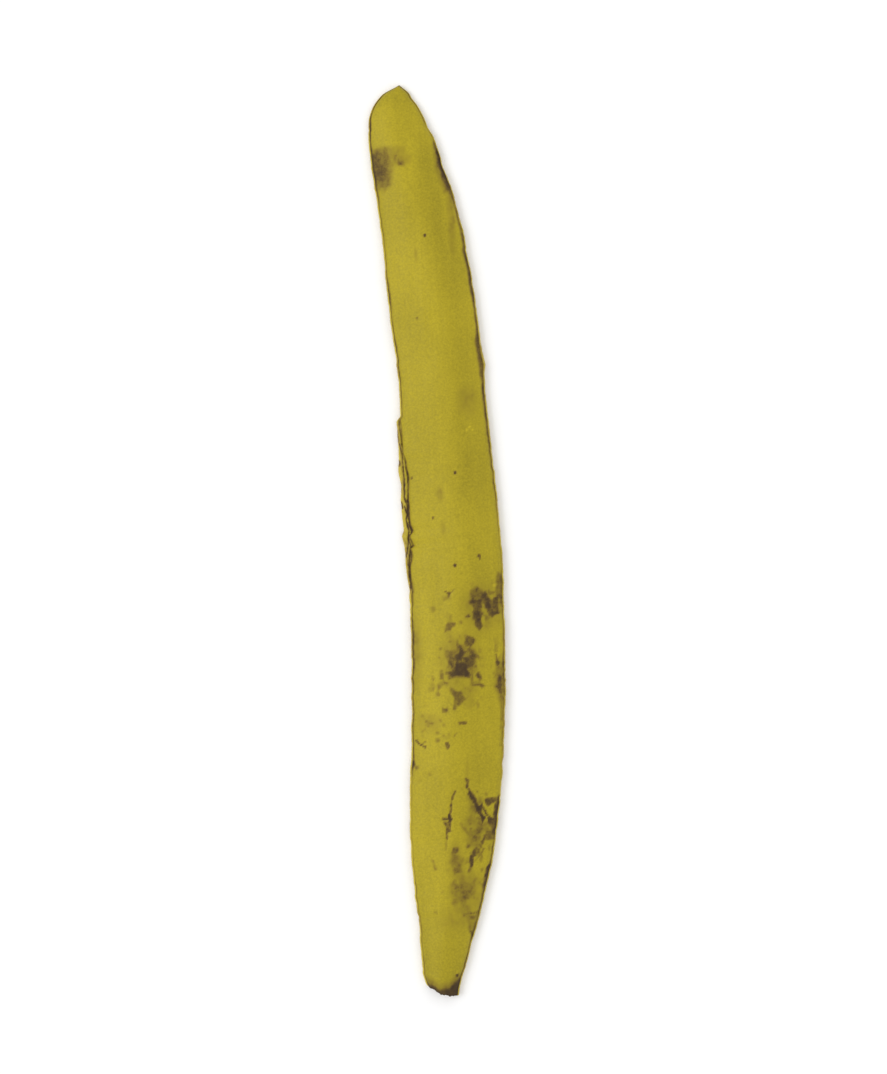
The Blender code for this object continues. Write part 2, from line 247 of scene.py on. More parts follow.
# Faint smears: (strength, y, x, half their length, half their width)
SMEARS = [
    (0.28, 89.2, 1.8, 0.7, 0.6), (0.35, 85.9, 8.05, 0.4, 0.4), (0.35, 80.1, 3.2, 0.4, 0.35),
    (0.3, 78.0, 2.6, 0.3, 0.4), (0.25, 74.4, 3.0, 0.8, 0.5), (0.2, 71.6, 0.9, 0.8, 0.7),
    (0.25, 60.7, 1.5, 0.4, 0.5), (0.3, 59.0, 1.4, 0.5, 0.5), (0.14, 63.2, -0.3, 2.0, 2.4),
    (0.15, 70.0, 9.5, 1.0, 1.8), (0.15, 67.4, 9.0, 1.6, 1.0), (0.2, 77.0, 7.5, 6.0, 4.2),
    (0.18, 89.0, 13.0, 5.0, 4.5), (0.4, 53.0, -3.7, 0.4, 0.4), (0.18, 51.4, -0.7, 0.5, 0.5),
    (0.25, 24.2, 0.8, 0.3, 0.4), (0.3, 18.0, 7.2, 0.4, 0.4), (0.16, 38.5, 8.8, 4.2, 2.4),
    (0.2, 31.0, 4.4, 4.0, 1.6), (0.2, 24.0, 6.5, 4.0, 3.6), (0.12, 18.0, 4.0, 3.0, 4.0),
    (0.16, 43.6, 8.6, 2.4, 0.8), (0.25, 46.2, 11.9, 0.4, 0.4), (0.12, 52.0, 7.8, 2.2, 0.4),
    (0.18, 115.3, 4.7, 1.6, 0.7), (0.16, 107.6, 4.9, 1.5, 0.6), (0.14, 170.6, 1.8, 1.6, 0.4),
    (0.16, 136.5, 12.0, 3.0, 2.4), (0.2, 179.0, 10.4, 8.0, 0.8), (0.14, 80.0, -2.6, 7.0, 1.4),
    (0.22, 192.0, -0.8, 1.0, 1.0), (0.3, 191.6, -0.8, 0.3, 0.5), (0.14, 193.0, 1.0, 1.6, 1.0),
]  # fmt: skip

# Places with small ragged flecks: (strength, y, x, half their length, half their width)
FLECKED = [
    (0.4, 90.0, 13.5, 5.0, 5.0), (0.45, 77.0, 8.0, 6.5, 4.5), (0.3, 71.0, 3.0, 5.0, 3.5),
    (0.25, 63.0, 1.5, 5.0, 5.0), (0.2, 67.5, 9.0, 4.0, 4.0), (0.3, 76.0, 15.5, 6.0, 1.5),
    (0.4, 36.0, 10.0, 6.0, 3.5), (0.15, 24.0, 5.5, 5.0, 5.0), (0.25, 30.0, 5.0, 5.0, 3.0),
    (0.35, 27.0, 11.0, 4.0, 1.5), (0.25, 192.5, 0.0, 2.5, 2.5), (0.2, 52.0, -3.6, 2.5, 1.6),
    (0.2, 85.5, 5.5, 2.5, 2.5),
]  # fmt: skip

# Dark lines: (strength, half their width, the points that they pass)
CREASES = [
    (0.65, 0.36, [(49.9, 7.5), (48.9, 7.8), (48.1, 7.7)]),
    (0.6, 0.28, [(48.6, 7.7), (47.0, 8.1), (45.6, 8.6)]),
    (0.75, 0.42, [(46.6, 8.2), (44.0, 9.4), (42.8, 9.9)]),
    (0.22, 0.8, [(46.0, 8.2), (44.0, 9.0), (42.6, 9.6)]),
    (0.75, 0.24, [(43.2, 11.0), (41.6, 12.0), (40.2, 12.9)]),
    (0.55, 0.24, [(47.3, 4.9), (46.3, 4.35), (45.6, 4.1)]),
    (0.4, 0.12, [(46.2, 4.3), (45.2, 4.0), (44.0, 3.8)]),
    (0.6, 0.24, [(44.2, 3.8), (42.2, 3.4), (40.6, 3.3), (38.3, 3.1)]),
    (0.55, 0.1, [(41.1, 0.9), (41.0, 2.0)]),
    (0.7, 0.2, [(41.0, 1.8), (40.9, 3.6)]),
    (0.5, 0.22, [(39.9, 2.4), (38.1, 2.6), (36.5, 2.4)]),
    (0.35, 0.2, [(37.8, 2.5), (36.5, 2.4)]),
    (0.2, 0.25, [(36.0, 2.2), (34.0, 2.1)]),
    (0.2, 0.3, [(39.7, 5.6), (37.2, 7.3)]),
    (0.35, 0.2, [(34.0, 10.2), (32.2, 8.7)]),
    (0.3, 0.15, [(32.0, 9.7), (30.8, 8.5)]),
    (0.3, 0.25, [(36.8, 11.0), (35.2, 10.6)]),
    (0.4, 0.2, [(34.0, 13.0), (32.0, 12.6), (30.4, 12.2)]),
    (0.5, 0.16, [(18.9, 9.4), (19.1, 7.9), (19.0, 7.0)]),
    (0.25, 0.25, [(19.0, 7.2), (18.8, 5.6)]),
    (0.6, 0.2, [(14.9, 6.8), (13.8, 7.2)]),
    (0.45, 0.18, [(93.2, 4.8), (92.6, 5.5)]),
    (0.4, 0.18, [(93.3, 6.5), (92.6, 6.0), (91.7, 5.3)]),
    (0.4, 0.2, [(77.9, 15.6), (76.6, 15.9)]),
    (0.25, 0.2, [(60.4, 5.8), (60.0, 5.2)]),
    (0.55, 0.18, [(59.1, -3.5), (58.4, -2.6), (57.4, -1.4)]),
    (0.4, 0.16, [(58.9, -1.4), (58.2, -2.4)]),
    (0.22, 0.18, [(66.0, 16.4), (62.0, 16.2), (57.0, 15.8)]),
    (0.5, 0.3, [(194.5, 7.9), (191.0, 8.6), (188.0, 9.6), (185.6, 10.2)]),
]  # fmt: skip

# The cracks along the hanging sliver, drawn the same way
SLIVER_CRACKS = [
    (0.5, 0.22, [(133.6, -3.9), (130.0, -3.7), (127.0, -3.25)]),
    (0.85, 0.2, [(127.5, -3.4), (125.0, -2.95), (122.0, -2.7), (120.0, -2.4), (117.0, -2.5), (114.0, -2.7)]),
    (0.85, 0.22, [(114.5, -2.7), (111.0, -2.9), (109.0, -2.5), (106.8, -2.15), (104.0, -2.0), (103.4, -2.6)]),
    (0.8, 0.22, [(103.6, -2.5), (102.0, -2.8), (100.0, -3.1), (97.5, -2.95), (94.0, -3.0)]),
    (0.55, 0.14, [(127.5, -4.1), (125.0, -3.5), (122.0, -3.5)]),
    (0.8, 0.16, [(122.2, -3.5), (119.0, -3.35), (115.0, -3.5), (112.9, -2.9)]),
    (0.85, 0.15, [(113.0, -3.6), (111.2, -3.0), (110.0, -3.4), (107.5, -2.9), (104.5, -3.1), (102.2, -3.5)]),
    (0.7, 0.14, [(109.4, -3.2), (108.2, -2.5)]),
    (0.7, 0.13, [(105.0, -3.0), (103.4, -2.4)]),
    (0.5, 0.15, [(101.8, -3.8), (99.0, -3.3), (96.0, -3.2)]),
    (0.7, 0.2, [(123.4, -4.3), (122.4, -4.2)]),
    (0.75, 0.2, [(114.0, -4.2), (112.6, -4.1)]),
    (0.6, 0.2, [(130.5, -4.5), (128.0, -4.3)]),
    (0.6, 0.18, [(102.4, -3.7), (101.4, -3.8)]),
]  # fmt: skip

# Small round spots: (y, x, radius, strength)
SPOTS = [
    (174.9, 4.1, 0.42, 0.95), (156.0, 1.4, 0.32, 0.6), (120.2, 8.4, 0.42, 0.9), (119.5, -1.6, 0.34, 0.5),
    (110.1, 2.8, 0.34, 0.5), (99.0, 7.3, 0.46, 1.0), (100.9, 12.9, 0.42, 0.9), (100.3, 13.1, 0.32, 0.8),
    (4.8, 3.2, 0.42, 0.9), (191.7, -0.8, 0.4, 0.35), (193.6, -1.6, 0.3, 0.25), (46.8, 9.9, 0.3, 0.4),
]  # fmt: skip
PALE_SPECKS = [
    (129.9, 11.6, 0.5), (130.5, 12.2, 0.5), (129.8, 12.9, 0.35), (94.0, 16.2, 0.6), (5.4, 3.2, 0.35),
]  # fmt: skip

# How far up the neck's end is dark brown, by place across: (x, y)
NECK_BROWN = [
    (-4.2, 3.0), (-3.0, 2.4), (-2.0, 2.0), (-1.0, 1.2), (1.0, 1.5), (2.0, 2.2), (3.0, 2.9), (4.5, 3.3),
]  # fmt: skip

# How stains waver: their borders shift by noise of these (reach, size, layers), and mottling breaks them up
BORDER_SHIFTS = [(0.22, 1.3, 3), (0.13, 0.6, 2)]
MOTTLE_SIZE = 1.1
MOTTLED_SOFTNESS = 0.3  # borders softer than this take the mottling less
BORDER_MOTTLE, PATCH_MOTTLE, SMEAR_MOTTLE = 0.3, 0.35, 0.8
FLECK_SIZE, FLECK_RANGE = 1.0, (0.12, 0.5)
WAVER_SIZE, WIDTH_WAVER, STRENGTH_WAVER = 0.8, 0.5, 0.4  # along dark lines

# The skin's unevenness: (height, length, width, seed)
SKIN_WAVES = [(0.06, 21, 7, 81), (0.05, 6, 3, 82), (0.015, 14, 0.6, 83)]
SKIN_GRAIN = 0.02
RIM_DROP, RIM_REACH = 0.3, 0.9  # the skin rolls down towards its edges
CREASE_DEPTH = 0.2
STAIN_DEPTH = 0.06
SPECK_HEIGHT = 0.05

# The torn lip, its fibres and the swollen sliver, in mm and in brownness
LIP_FALL = 2.5  # above 1, the lip stays high and drops at its outer edge
FIBRE_HEIGHT, WALL_FIBRE, CRACK_DEPTH, SLIVER_SWELL = 0.12, 0.12, 0.4, 0.25
LIP_BROWN, FIBRE_BROWN = 0.1, 0.55
WALL_BROWN, FOOT_BROWN, WALL_BLOTCHES = 0.15, 0.25, 0.4

# The pith's strings and fuzz underneath: (height in mm, how much browner they are)
STRINGS, FUZZ = (0.16, 0.14), (0.06, 0.1)
PITH_BROWN, SHOWING_STAINS = 0.1, 0.22

# Tone, where one unit is a tenth lighter: streaks, haze, painted shade in a band right of the middle, and the
# margins, with painted shade on the left one
STREAK_TONE, HAZE_TONE, SPECK_TONE, FRINGE_TONE, STRING_TONE = 0.3, 1.3, 4.5, 3.2, 1.8
# Painted shade: a darker band right of the middle, where the skin's right face turns away from the light
SHADE_BAND_TONE, SHADE_BAND_PLACE, SHADE_BAND_WIDTH = 0.85, 0.45, 0.3
# Painted shade: the skin is darker along its left margin
LEFT_MARGIN_SHADE = 0.5
NECK_TONES = [(0.3, 14.0, 26.0), (1.0, 5.0, 14.0)]  # (how much darker, below this y, and not above this y)
# Partly painted shade where the tip slopes down away from the light, partly the tip's own darker colour
TIP_SHADE_AND_TONE = 1.0

# The map for the looks: two lengths of the strip side by side, and its ends above
MAP_MARGIN = 0.004
MAP_WIDTH = 0.492
MAP_LENGTH = 0.94
CAP_HEIGHT = 0.04

LOOKS = ("brown", "tone", "inside")  # what each vertex holds besides its place
BROWN = 3  # the column of the first of them

# Colours are linear red, green and blue, by how brown the place is.
SKIN_COLOURS = [
    (0.0, (0.376, 0.299, 0.011)), (0.25, (0.262, 0.194, 0.012)), (0.5, (0.178, 0.118, 0.013)),
    (0.8, (0.09, 0.055, 0.013)), (1.0, (0.055, 0.032, 0.013)),
]  # fmt: skip
PITH_COLOURS = [
    (0.0, (0.66, 0.52, 0.16)), (0.35, (0.42, 0.29, 0.09)), (0.7, (0.2, 0.12, 0.045)),
    (1.0, (0.075, 0.042, 0.022)),
]  # fmt: skip

SKIN_ROUGHNESS, PITH_ROUGHNESS = 0.5, 0.28  # the second is added on pith
STAIN_ROUGHNESS, MOTTLE_ROUGHNESS = 0.18, 0.25
SPECULAR = 0.2
BUMP_DEPTH = 0.06  # mm
DRAWN_OUT = 0.06  # the width of streaks and strings, as a share of their length


def smooth_curve(points):
    """A curve through the points, as a function of arrays, which never swings past a point."""
    places, values = np.array(points, float).T
    rises = np.diff(values) / np.diff(places)
    product = rises[:-1] * rises[1:]
    total = np.where(product > 0, rises[:-1] + rises[1:], 1.0)
    inner = np.where(product > 0, 2 * product / total, 0.0)
    slopes = np.concatenate([rises[:1], inner, rises[-1:]])

    def curve(place):
        place = np.clip(place, places[0], places[-1])
        i = np.clip(np.searchsorted(places, place, "right"), 1, len(places) - 1) - 1
        span = places[i + 1] - places[i]
        t = (place - places[i]) / span
        return (
            (2 * t**3 - 3 * t**2 + 1) * values[i]
            + (t**3 - 2 * t**2 + t) * span * slopes[i]
            + (3 * t**2 - 2 * t**3) * values[i + 1]
            + (t**3 - t**2) * span * slopes[i + 1]
        )

    return curve


def ramp(value, start, end):
    """0 before start and 1 after end, smooth between."""
    t = np.clip((value - start) / (end - start), 0.0, 1.0)
    return t * t * (3 - 2 * t)


def fade(distance, inner, outer):
    """1 nearer than inner and 0 beyond outer, smooth between."""
    return ramp(-distance, -outer, -inner)


def waves(y, x, y_size, x_size, seed):
    """Smooth seeded noise from -1 to 1, whose waves are about y_size long and x_size wide."""
    lattice = np.random.default_rng(seed).uniform(-1, 1, (256, 256))
    v, u = np.broadcast_arrays(y / y_size, x / x_size)
    i, j = np.floor(v).astype(int), np.floor(u).astype(int)
    s, t = v - i, u - j
    s, t = s * s * (3 - 2 * s), t * t * (3 - 2 * t)
    i0, i1, j0, j1 = i % 256, (i + 1) % 256, j % 256, (j + 1) % 256
    near = lattice[i0, j0] * (1 - t) + lattice[i0, j1] * t
    far = lattice[i1, j0] * (1 - t) + lattice[i1, j1] * t
    return near * (1 - s) + far * s


def layered(y, x, size, seed, layers=3, stretch=1.0):
    """Noise from -1 to 1 in layers, each half as large and half as strong as the one before."""
    total, weight = 0.0, 0.0
    for k in range(layers):
        total = total + waves(y, x, size * stretch / 2**k, size / 2**k, seed + k) / 2**k
        weight += 1 / 2**k
    return total / weight


def overlay(below, above):
    """Two stains on one place, which never pass full strength."""
    return 1 - (1 - below) * (1 - above)


def distance_to_line(y, x, points):
    """How far each place lies from a line through the points."""
    nearest = np.full(np.shape(x), np.inf)
    for (y0, x0), (y1, x1) in zip(points, points[1:]):
        dy, dx = y1 - y0, x1 - x0
        t = np.clip(((y - y0) * dy + (x - x0) * dx) / (dy * dy + dx * dx), 0, 1)
        nearest = np.minimum(nearest, np.hypot(y - y0 - t * dy, x - x0 - t * dx))
    return nearest


# The outline and the heights, as functions of y
left_edge_plain, right_edge_plain = smooth_curve(LEFT_EDGE), smooth_curve(RIGHT_EDGE)
left_lip, right_lip = smooth_curve(LEFT_LIP), smooth_curve(RIGHT_LIP)
skin_crest, skin_rim = smooth_curve(SKIN_CREST), smooth_curve(SKIN_RIM)
lip_height, hollow = smooth_curve(LIP_HEIGHT), smooth_curve(HOLLOW)
ridge_place, neck_tear = smooth_curve(RIDGE), smooth_curve(NECK_TEAR)
neck_brown = smooth_curve(NECK_BROWN)


def ragged(y, seed):
    """The small unevenness of a torn edge."""
    rough = sum(depth * waves(y, 0.0, length, 1.0, seed + k) for k, (depth, length) in enumerate(TORN_WAVES))
    return rough * ramp(DRAWN_LENGTH - y, 0.0, TORN_CALM)


def left_edge(y):
    return left_edge_plain(y) + ragged(y, 11)


def right_edge(y):
    return right_edge_plain(y) + ragged(y, 21)


def torn(y, across):
    """Where this place of the section at y lies along the strip, because the neck's end is torn aslant."""
    inner = ramp(1 - np.abs(across), 0.0, TEAR_CORNER)
    jags = 0.0
    for k, (height, count) in enumerate(TEAR_JAGS):
        jags = jags + height * waves(across * count, 0.0, 1.0, 1.0, 31 + k)
    rise = np.maximum(neck_tear(across) + inner * jags, 0.0)
    return y + rise * np.maximum(0.0, 1 - y / TEAR_REACH)


def skin_profile(y, across):
    """The skin's height between rim (0) and crest (1): two nearly flat faces that meet in a rounded ridge."""
    ridge = ridge_place(y)
    side = np.where(across < ridge, 1 + ridge, 1 - ridge)
    q = (across - ridge) / side
    bend = RIDGE_ROUNDING + TIP_ROUNDING * ramp(y, *RIDGE_FADES)
    slope = (np.sqrt(q * q + bend * bend) - bend) / (np.sqrt(1 + bend * bend) - bend)
    return 1 - slope


def distance_to_patch(y, x, corners):
    """How far each place lies outside a patch's outline, and below 0 inside it."""
    inside = np.zeros(np.shape(x), bool)
    for (y0, x0), (y1, x1) in zip(corners, [*corners[1:], corners[0]]):
        crossing = (y0 > y) != (y1 > y)
        inside ^= crossing & (x < x0 + (x1 - x0) * (y - y0) / ((y1 - y0) or 1.0))
    return distance_to_line(y, x, [*corners, corners[0]]) * np.where(inside, -1, 1)


def line_stains(y, x, lines):
    """How brown a set of dark lines makes each place. A line's width and strength waver along it."""
    brown = np.zeros(np.shape(x))
    waver = layered(y, x, WAVER_SIZE, 61)
    for strength, width, points in lines:
        far = distance_to_line(y, x, points) / (1 + WIDTH_WAVER * waver)
        here = np.clip(strength * (1 + STRENGTH_WAVER * waver), 0, 1)
        brown = overlay(brown, here * fade(far, 0.5 * width, 1.5 * width))
    return brown


def border_shift(y, x, seed):
    """How far a stain's border is shifted here."""
    shift = 0.0
    for k, (reach, size, layers) in enumerate(BORDER_SHIFTS):
        shift = shift + reach * layered(y, x, size, seed + 4 * k, layers)
    return shift


def skin_stains(y, x):
    """How brown each place of the skin is, from 0 to 1."""
    shifted_y, shifted_x = y + border_shift(y, x, 41), x + border_shift(y, x, 51)
    mottle = layered(y, x, MOTTLE_SIZE, 65, stretch=1.4)
    brown = line_stains(shifted_y, shifted_x, CREASES)
    for strength, soft, corners in PATCHES:
        uneven = mottle * min(1.0, MOTTLED_SOFTNESS / soft)
        far = distance_to_patch(shifted_y, shifted_x, corners) - BORDER_MOTTLE * uneven
        here = np.clip(strength * (1 + PATCH_MOTTLE * uneven), 0, 1)
        brown = overlay(brown, here * fade(far, -0.7 * soft, soft))
    for strength, stain_y, stain_x, length, width in SMEARS:
        far = np.hypot((shifted_y - stain_y) / length, (shifted_x - stain_x) / width)
        brown = overlay(brown, strength * (1 + SMEAR_MOTTLE * mottle) * fade(far, 0.3, 1.6))
    flecks = ramp(layered(y, x, FLECK_SIZE, 68, stretch=1.2), *FLECK_RANGE)
    for strength, zone_y, zone_x, length, width in FLECKED:
        far = np.hypot((y - zone_y) / length, (x - zone_x) / width)
        brown = overlay(brown, strength * flecks * fade(far, 0.4, 1.3))
    for spot_y, spot_x, radius, strength in SPOTS:
        far = np.hypot(y - spot_y, x - spot_x)
        brown = overlay(brown, strength * fade(far, 0.4 * radius, 1.15 * radius))
    above = y - neck_brown(x) - 0.3 - BORDER_MOTTLE * mottle
    neck = overlay(0.9 * fade(above, -0.4, 0.6), 0.5 * fade(above, -0.6, 2.6))
    return np.clip(overlay(brown, neck), 0, 1)


def edge_line(y, inside, table):
    """The brown line along one torn edge, by the distance inside the skin's edge."""
    places, strengths, widths = zip(*table)
    strength = np.interp(y, places, strengths)
    width = np.interp(y, places, widths)
    width = LINE_WIDTH * width * (1 + 0.25 * waves(y, 0.0, 1.9, 1.0, 71))
    strength = strength * (0.8 + 0.2 * waves(y, 0.0, 1.7, 1.0, 72))
    return np.clip(strength, 0, 1) * fade(inside, 0.4 * width, 1.5 * width)


def crease_depth(y, x):
    """How deep the skin is folded in, in mm."""
    depth = np.zeros(np.shape(x))
    for strength, width, points in CREASES:
        far = distance_to_line(y, x, points)
        depth = np.maximum(depth, CREASE_DEPTH * strength * np.exp(-((far / (1.8 * width)) ** 2)))
    return depth


def skin_part(y):
    """The skin's places, brownness, tone and inwardness, from the left edge to the right."""
    across = np.linspace(-1, 1, COLUMNS + 1)[None, :]
    y_here = torn(y, across)
    start, end = skin_ends(y)
    x = start + (end - start) * (across + 1) / 2
    rim, crest = skin_rim(y), skin_crest(y)
    inside_left, inside_right = x - start, end - x
    inside = np.minimum(inside_left, inside_right)
    z = rim + (crest - rim) * skin_profile(y, across)
    z = z - RIM_DROP * fade(inside, 0.0, RIM_REACH)
    for height, length, width, seed in SKIN_WAVES:
        z = z + height * waves(y_here, x, length, width, seed)
    z = z + SKIN_GRAIN * layered(y_here, x, 1.4, 84, stretch=2.0)
    z = z - crease_depth(y_here, x)
    brown = skin_stains(y_here, x)
    brown = overlay(brown, edge_line(y_here, inside_left, LEFT_LINE))
    brown = overlay(brown, edge_line(y_here, inside_right, RIGHT_LINE))
    z = z - STAIN_DEPTH * brown
    pale = np.zeros(np.shape(x))
    for speck_y, speck_x, radius in PALE_SPECKS:
        pale = np.maximum(pale, fade(np.hypot(y_here - speck_y, x - speck_x), 0.0, radius))
    z = z + SPECK_HEIGHT * pale
    tone = skin_tone(y_here, x, across, inside_left) + SPECK_TONE * pale
    return place(x, y_here, z), brown, tone, np.zeros(np.shape(x))


def skin_tone(y, x, across, inside_left):
    """How light or dark each place of the unstained skin is: its streaks and haze, painted shade in a band on
    the right face and along the left margin, and a tip darker partly from painted shade.
    """
    tone = STREAK_TONE * layered(y, x, 1.1, 85, stretch=16.0)
    tone = tone + HAZE_TONE * layered(y, x, 6.0, 86, 4, stretch=2.0)
    # painted shade in a band right of the middle, over the strip's body
    body = ramp(y, 8.0, 60.0) * fade(y, 180.0, 205.0)
    tone = tone - SHADE_BAND_TONE * body * np.exp(-(((across - SHADE_BAND_PLACE) / SHADE_BAND_WIDTH) ** 2))
    # painted shade along the left margin
    tone = tone - LEFT_MARGIN_SHADE * fade(inside_left, 0.4, 2.2)
    for darker, full, none in NECK_TONES:
        tone = tone - darker * fade(y, full, none)
    # darker at the tip: partly painted shade, partly the tip's own colour
    return tone - TIP_SHADE_AND_TONE * ramp(y, 203.0, 208.0)


def skin_ends(y):
    """Where the skin starts on the left and ends on the right."""
    y_left, y_right = torn(y, np.array([[-1.0]])), torn(y, np.array([[1.0]]))
    left, right = left_edge(y_left), right_edge(y_right)
    width = right - left
    start = left + np.minimum(left_lip(y_left), 0.15 * width)
    end = right - np.minimum(right_lip(y_right), 0.15 * width)
    return start, end


def place(x, y, z):
    return np.stack(np.broadcast_arrays(x, y, z), axis=-1)


def lip_part(y, side):
    """The torn lip from the skin's edge out to the strip's edge, and the wall down to the table."""
    y_here = torn(y, np.array([[float(side)]]))
    skin_left, skin_right = skin_ends(y)
    start = skin_left if side < 0 else skin_right
    outer = left_edge(y_here) if side < 0 else right_edge(y_here)
    share = np.linspace(0, 1, LIP_ROWS + 1)[None, 1:]
    x = start + (outer - start) * share
    rim = skin_rim(y) - RIM_DROP
    z = rim + (lip_height(y) - rim) * share**LIP_FALL
    width = np.abs(outer - start)
    fibre = layered(y_here, share * width, 0.5, 91 - side, stretch=9.0)
    z = z + FIBRE_HEIGHT * np.minimum(width, 1.0) * fibre
    table = LEFT_LINE if side < 0 else RIGHT_LINE
    line = edge_line(y_here, 0.8 * share * width, table)
    brown = np.clip(LIP_BROWN + FIBRE_BROWN * fibre, 0, 1) + np.zeros(np.shape(x))
    brown = overlay(brown, line * fade(share, 0.0, 0.4) * fade(width, 0.6, 1.2))
    if side < 0:
        crack = line_stains(y_here, x + 0.1 * layered(y_here, x, 0.8, 93), SLIVER_CRACKS)
        z = z - CRACK_DEPTH * crack + SLIVER_SWELL * np.sin(math.pi * share) * ramp(width, 0.6, 1.3)
        brown = overlay(brown, crack)
    fringe = FRINGE_TONE * fade((1 - share) * width, 0.15, 0.45) * (1 + 0.9 * fibre)
    lip = place(x, y_here, z), brown, fringe + 0 * x, 0.2 * share + 0 * x
    pull_in = np.minimum(FOOT_ROUNDING, 0.1 * (skin_right - skin_left))
    wall = wall_part(y, y_here, outer, side, pull_in)
    return [np.concatenate(values, axis=1) for values in zip(lip, wall)]


def wall_part(y, y_here, outer, side, pull_in):
    """The torn wall from the strip's outer edge down to the table."""
    drop = np.linspace(0, 1, WALL_ROWS + 1)[None, 1:]
    x = outer - side * (pull_in * drop + WALL_FIBRE * np.abs(layered(y_here, drop, 0.6, 94)))
    z = lip_height(y) * (1 - drop)
    blotches = layered(y_here, drop, 1.2, 95, stretch=1.5)
    brown = np.clip(WALL_BROWN + FOOT_BROWN * drop + WALL_BLOTCHES * blotches, 0, 1)
    tone = 1.2 * (1 - drop) + 3.0 * layered(y_here, drop, 0.35, 97, stretch=7.0)
    return place(x, y_here, z), brown, tone + 0 * x, 0.4 + 0.6 * drop + 0 * x


def under_part(y):
    """The pith's inner face, from the right foot to the left, with strings that run along the strip."""
    y_left, y_right = torn(y, np.array([[-1.0]])), torn(y, np.array([[1.0]]))
    left, right = left_edge(y_left), right_edge(y_right)
    width = right - left
    foot = np.minimum(FOOT_WIDTH, 0.22 * width)
    pull_in = np.minimum(FOOT_ROUNDING, 0.1 * width)
    across = np.linspace(0.98, -0.98, COLUMNS + 1)[None, :]
    y_here = torn(y, across)
    reach = width / 2 - pull_in
    x = (left + right) / 2 + across * reach
    q = np.clip(np.abs(across) * reach / (reach + pull_in - foot), 0, 1)
    rise = hollow(y) * (1 - q**HOLLOW_ROUNDNESS)
    strings = layered(y_here, x + 0.5 * waves(y_here, x, 25, 6, 101), 1.1, 102, stretch=22.0)
    thick = waves(y_here, x + 0.3 * waves(y_here, x, 9, 3, 103), 60, 1.3, 104)
    strings = strings + 0.6 * ramp(thick, 0.45, 0.8)
    fuzz = layered(y_here, x, 0.9, 105)
    free = ramp(rise, 0.0, 0.6)
    z = np.maximum(rise + free * (STRINGS[0] * strings + FUZZ[0] * fuzz), 0.0)
    brown = PITH_BROWN + STRINGS[1] * strings + FUZZ[1] * fuzz + SHOWING_STAINS * skin_stains(y_here, x)
    brown = brown + 0.1 * fade(rise, 0.0, 0.9)
    return place(x, y_here, z), np.clip(brown, 0, 1), STRING_TONE * strings, np.ones(np.shape(x))


def ring_parts(y):
    """The closed ring of places at each station: skin, right lip and wall, underside, left wall and lip."""
    skin, right, under, left = skin_part(y), lip_part(y, 1), under_part(y), lip_part(y, -1)
    left = [values[:, ::-1] for values in left]
    return [np.concatenate(values, axis=1) for values in zip(skin, right, under, left)]


def cap_values(ring):
    """The inner rows of an end's closing grid, from the values round its ring."""
    top, bottom, left, right = (ring[index] for index in cap_sides())
    t = np.linspace(0, 1, CAP_ROWS + 1)[:, None, None]
    s = np.linspace(0, 1, COLUMNS + 1)[None, :, None]
    corners = (1 - t) * ((1 - s) * top[0] + s * top[-1]) + t * ((1 - s) * bottom[0] + s * bottom[-1])
    grid = (1 - t) * top + t * bottom + (1 - s) * left[:, None] + s * right[:, None] - corners
    return grid[1:-1, 1:-1]


def cap_sides():
    """Where the ring holds the skin's row, the underside's row, and the left and right sides downwards."""
    side = LIP_ROWS + WALL_ROWS
    skin = np.arange(COLUMNS + 1)
    right = np.arange(COLUMNS, COLUMNS + side + 2)
    under = np.arange(COLUMNS + side + 1, 2 * COLUMNS + side + 2)[::-1]
    left = np.concatenate([[0], np.arange(2 * COLUMNS + side + 1, 2 * COLUMNS + 2 * side + 2)[::-1]])
    return skin, under, left, right


def cap_indices(first_of_ring, first_inner):
    """The closing grid's vertex numbers."""
    skin, under, left, right = (first_of_ring + part for part in cap_sides())
    grid = np.empty((CAP_ROWS + 1, COLUMNS + 1), int)
    grid[0], grid[-1], grid[:, 0], grid[:, -1] = skin, under, left, right
    grid[1:-1, 1:-1] = first_inner + np.arange((CAP_ROWS - 1) * (COLUMNS - 1)).reshape(CAP_ROWS - 1, -1)
    return grid


def quads(grid):
    """One face for each cell of a grid of numbers or of map places."""
    return np.stack([grid[:-1, :-1], grid[:-1, 1:], grid[1:, 1:], grid[1:, :-1]], axis=2)


def peel_geometry():
    """Vertices with their brownness, tone and inwardness, faces, and each face corner's place on the map."""
    y = DRAWN_LENGTH * np.linspace(0, 1, STATIONS + 1)[:, None]
    places, *looks = ring_parts(y)
    values = np.concatenate([places, *(look[..., None] for look in looks)], axis=2)
    count = values.shape[1]
    numbers = np.arange((STATIONS + 1) * count).reshape(STATIONS + 1, count)
    wrapped = np.concatenate([numbers, numbers[:, :1]], axis=1)
    neck, tip = cap_values(values[0]), cap_values(values[-1])
    rough = layered(neck[..., 0], neck[..., 2], 0.9, 111) + 0.6
    neck[..., 1] += 0.25 * rough
    neck[..., BROWN] = 0.65 + 0.25 * rough
    vertices = np.concatenate([part.reshape(-1, values.shape[2]) for part in (values, neck, tip)])
    neck_grid = cap_indices(0, numbers.size)
    tip_grid = cap_indices(numbers[-1, 0], numbers.size + neck[..., 0].size)
    faces = [quads(wrapped), quads(neck_grid)[:, :, ::-1], quads(tip_grid)]
    maps = [quads(ring_map(values)), quads(cap_map(0.0))[:, :, ::-1], quads(cap_map(0.5))]
    # The second length of the strip lies beside the first on the map.
    half = STATIONS // 2
    maps[0][half:, ..., 0] += 0.5
    maps[0][half:, ..., 1] -= MAP_LENGTH * half / STATIONS * 2
    faces = np.concatenate([grid.reshape(-1, 4) for grid in faces])
    return vertices, faces, np.concatenate([grid.reshape(-1, 2) for grid in maps])


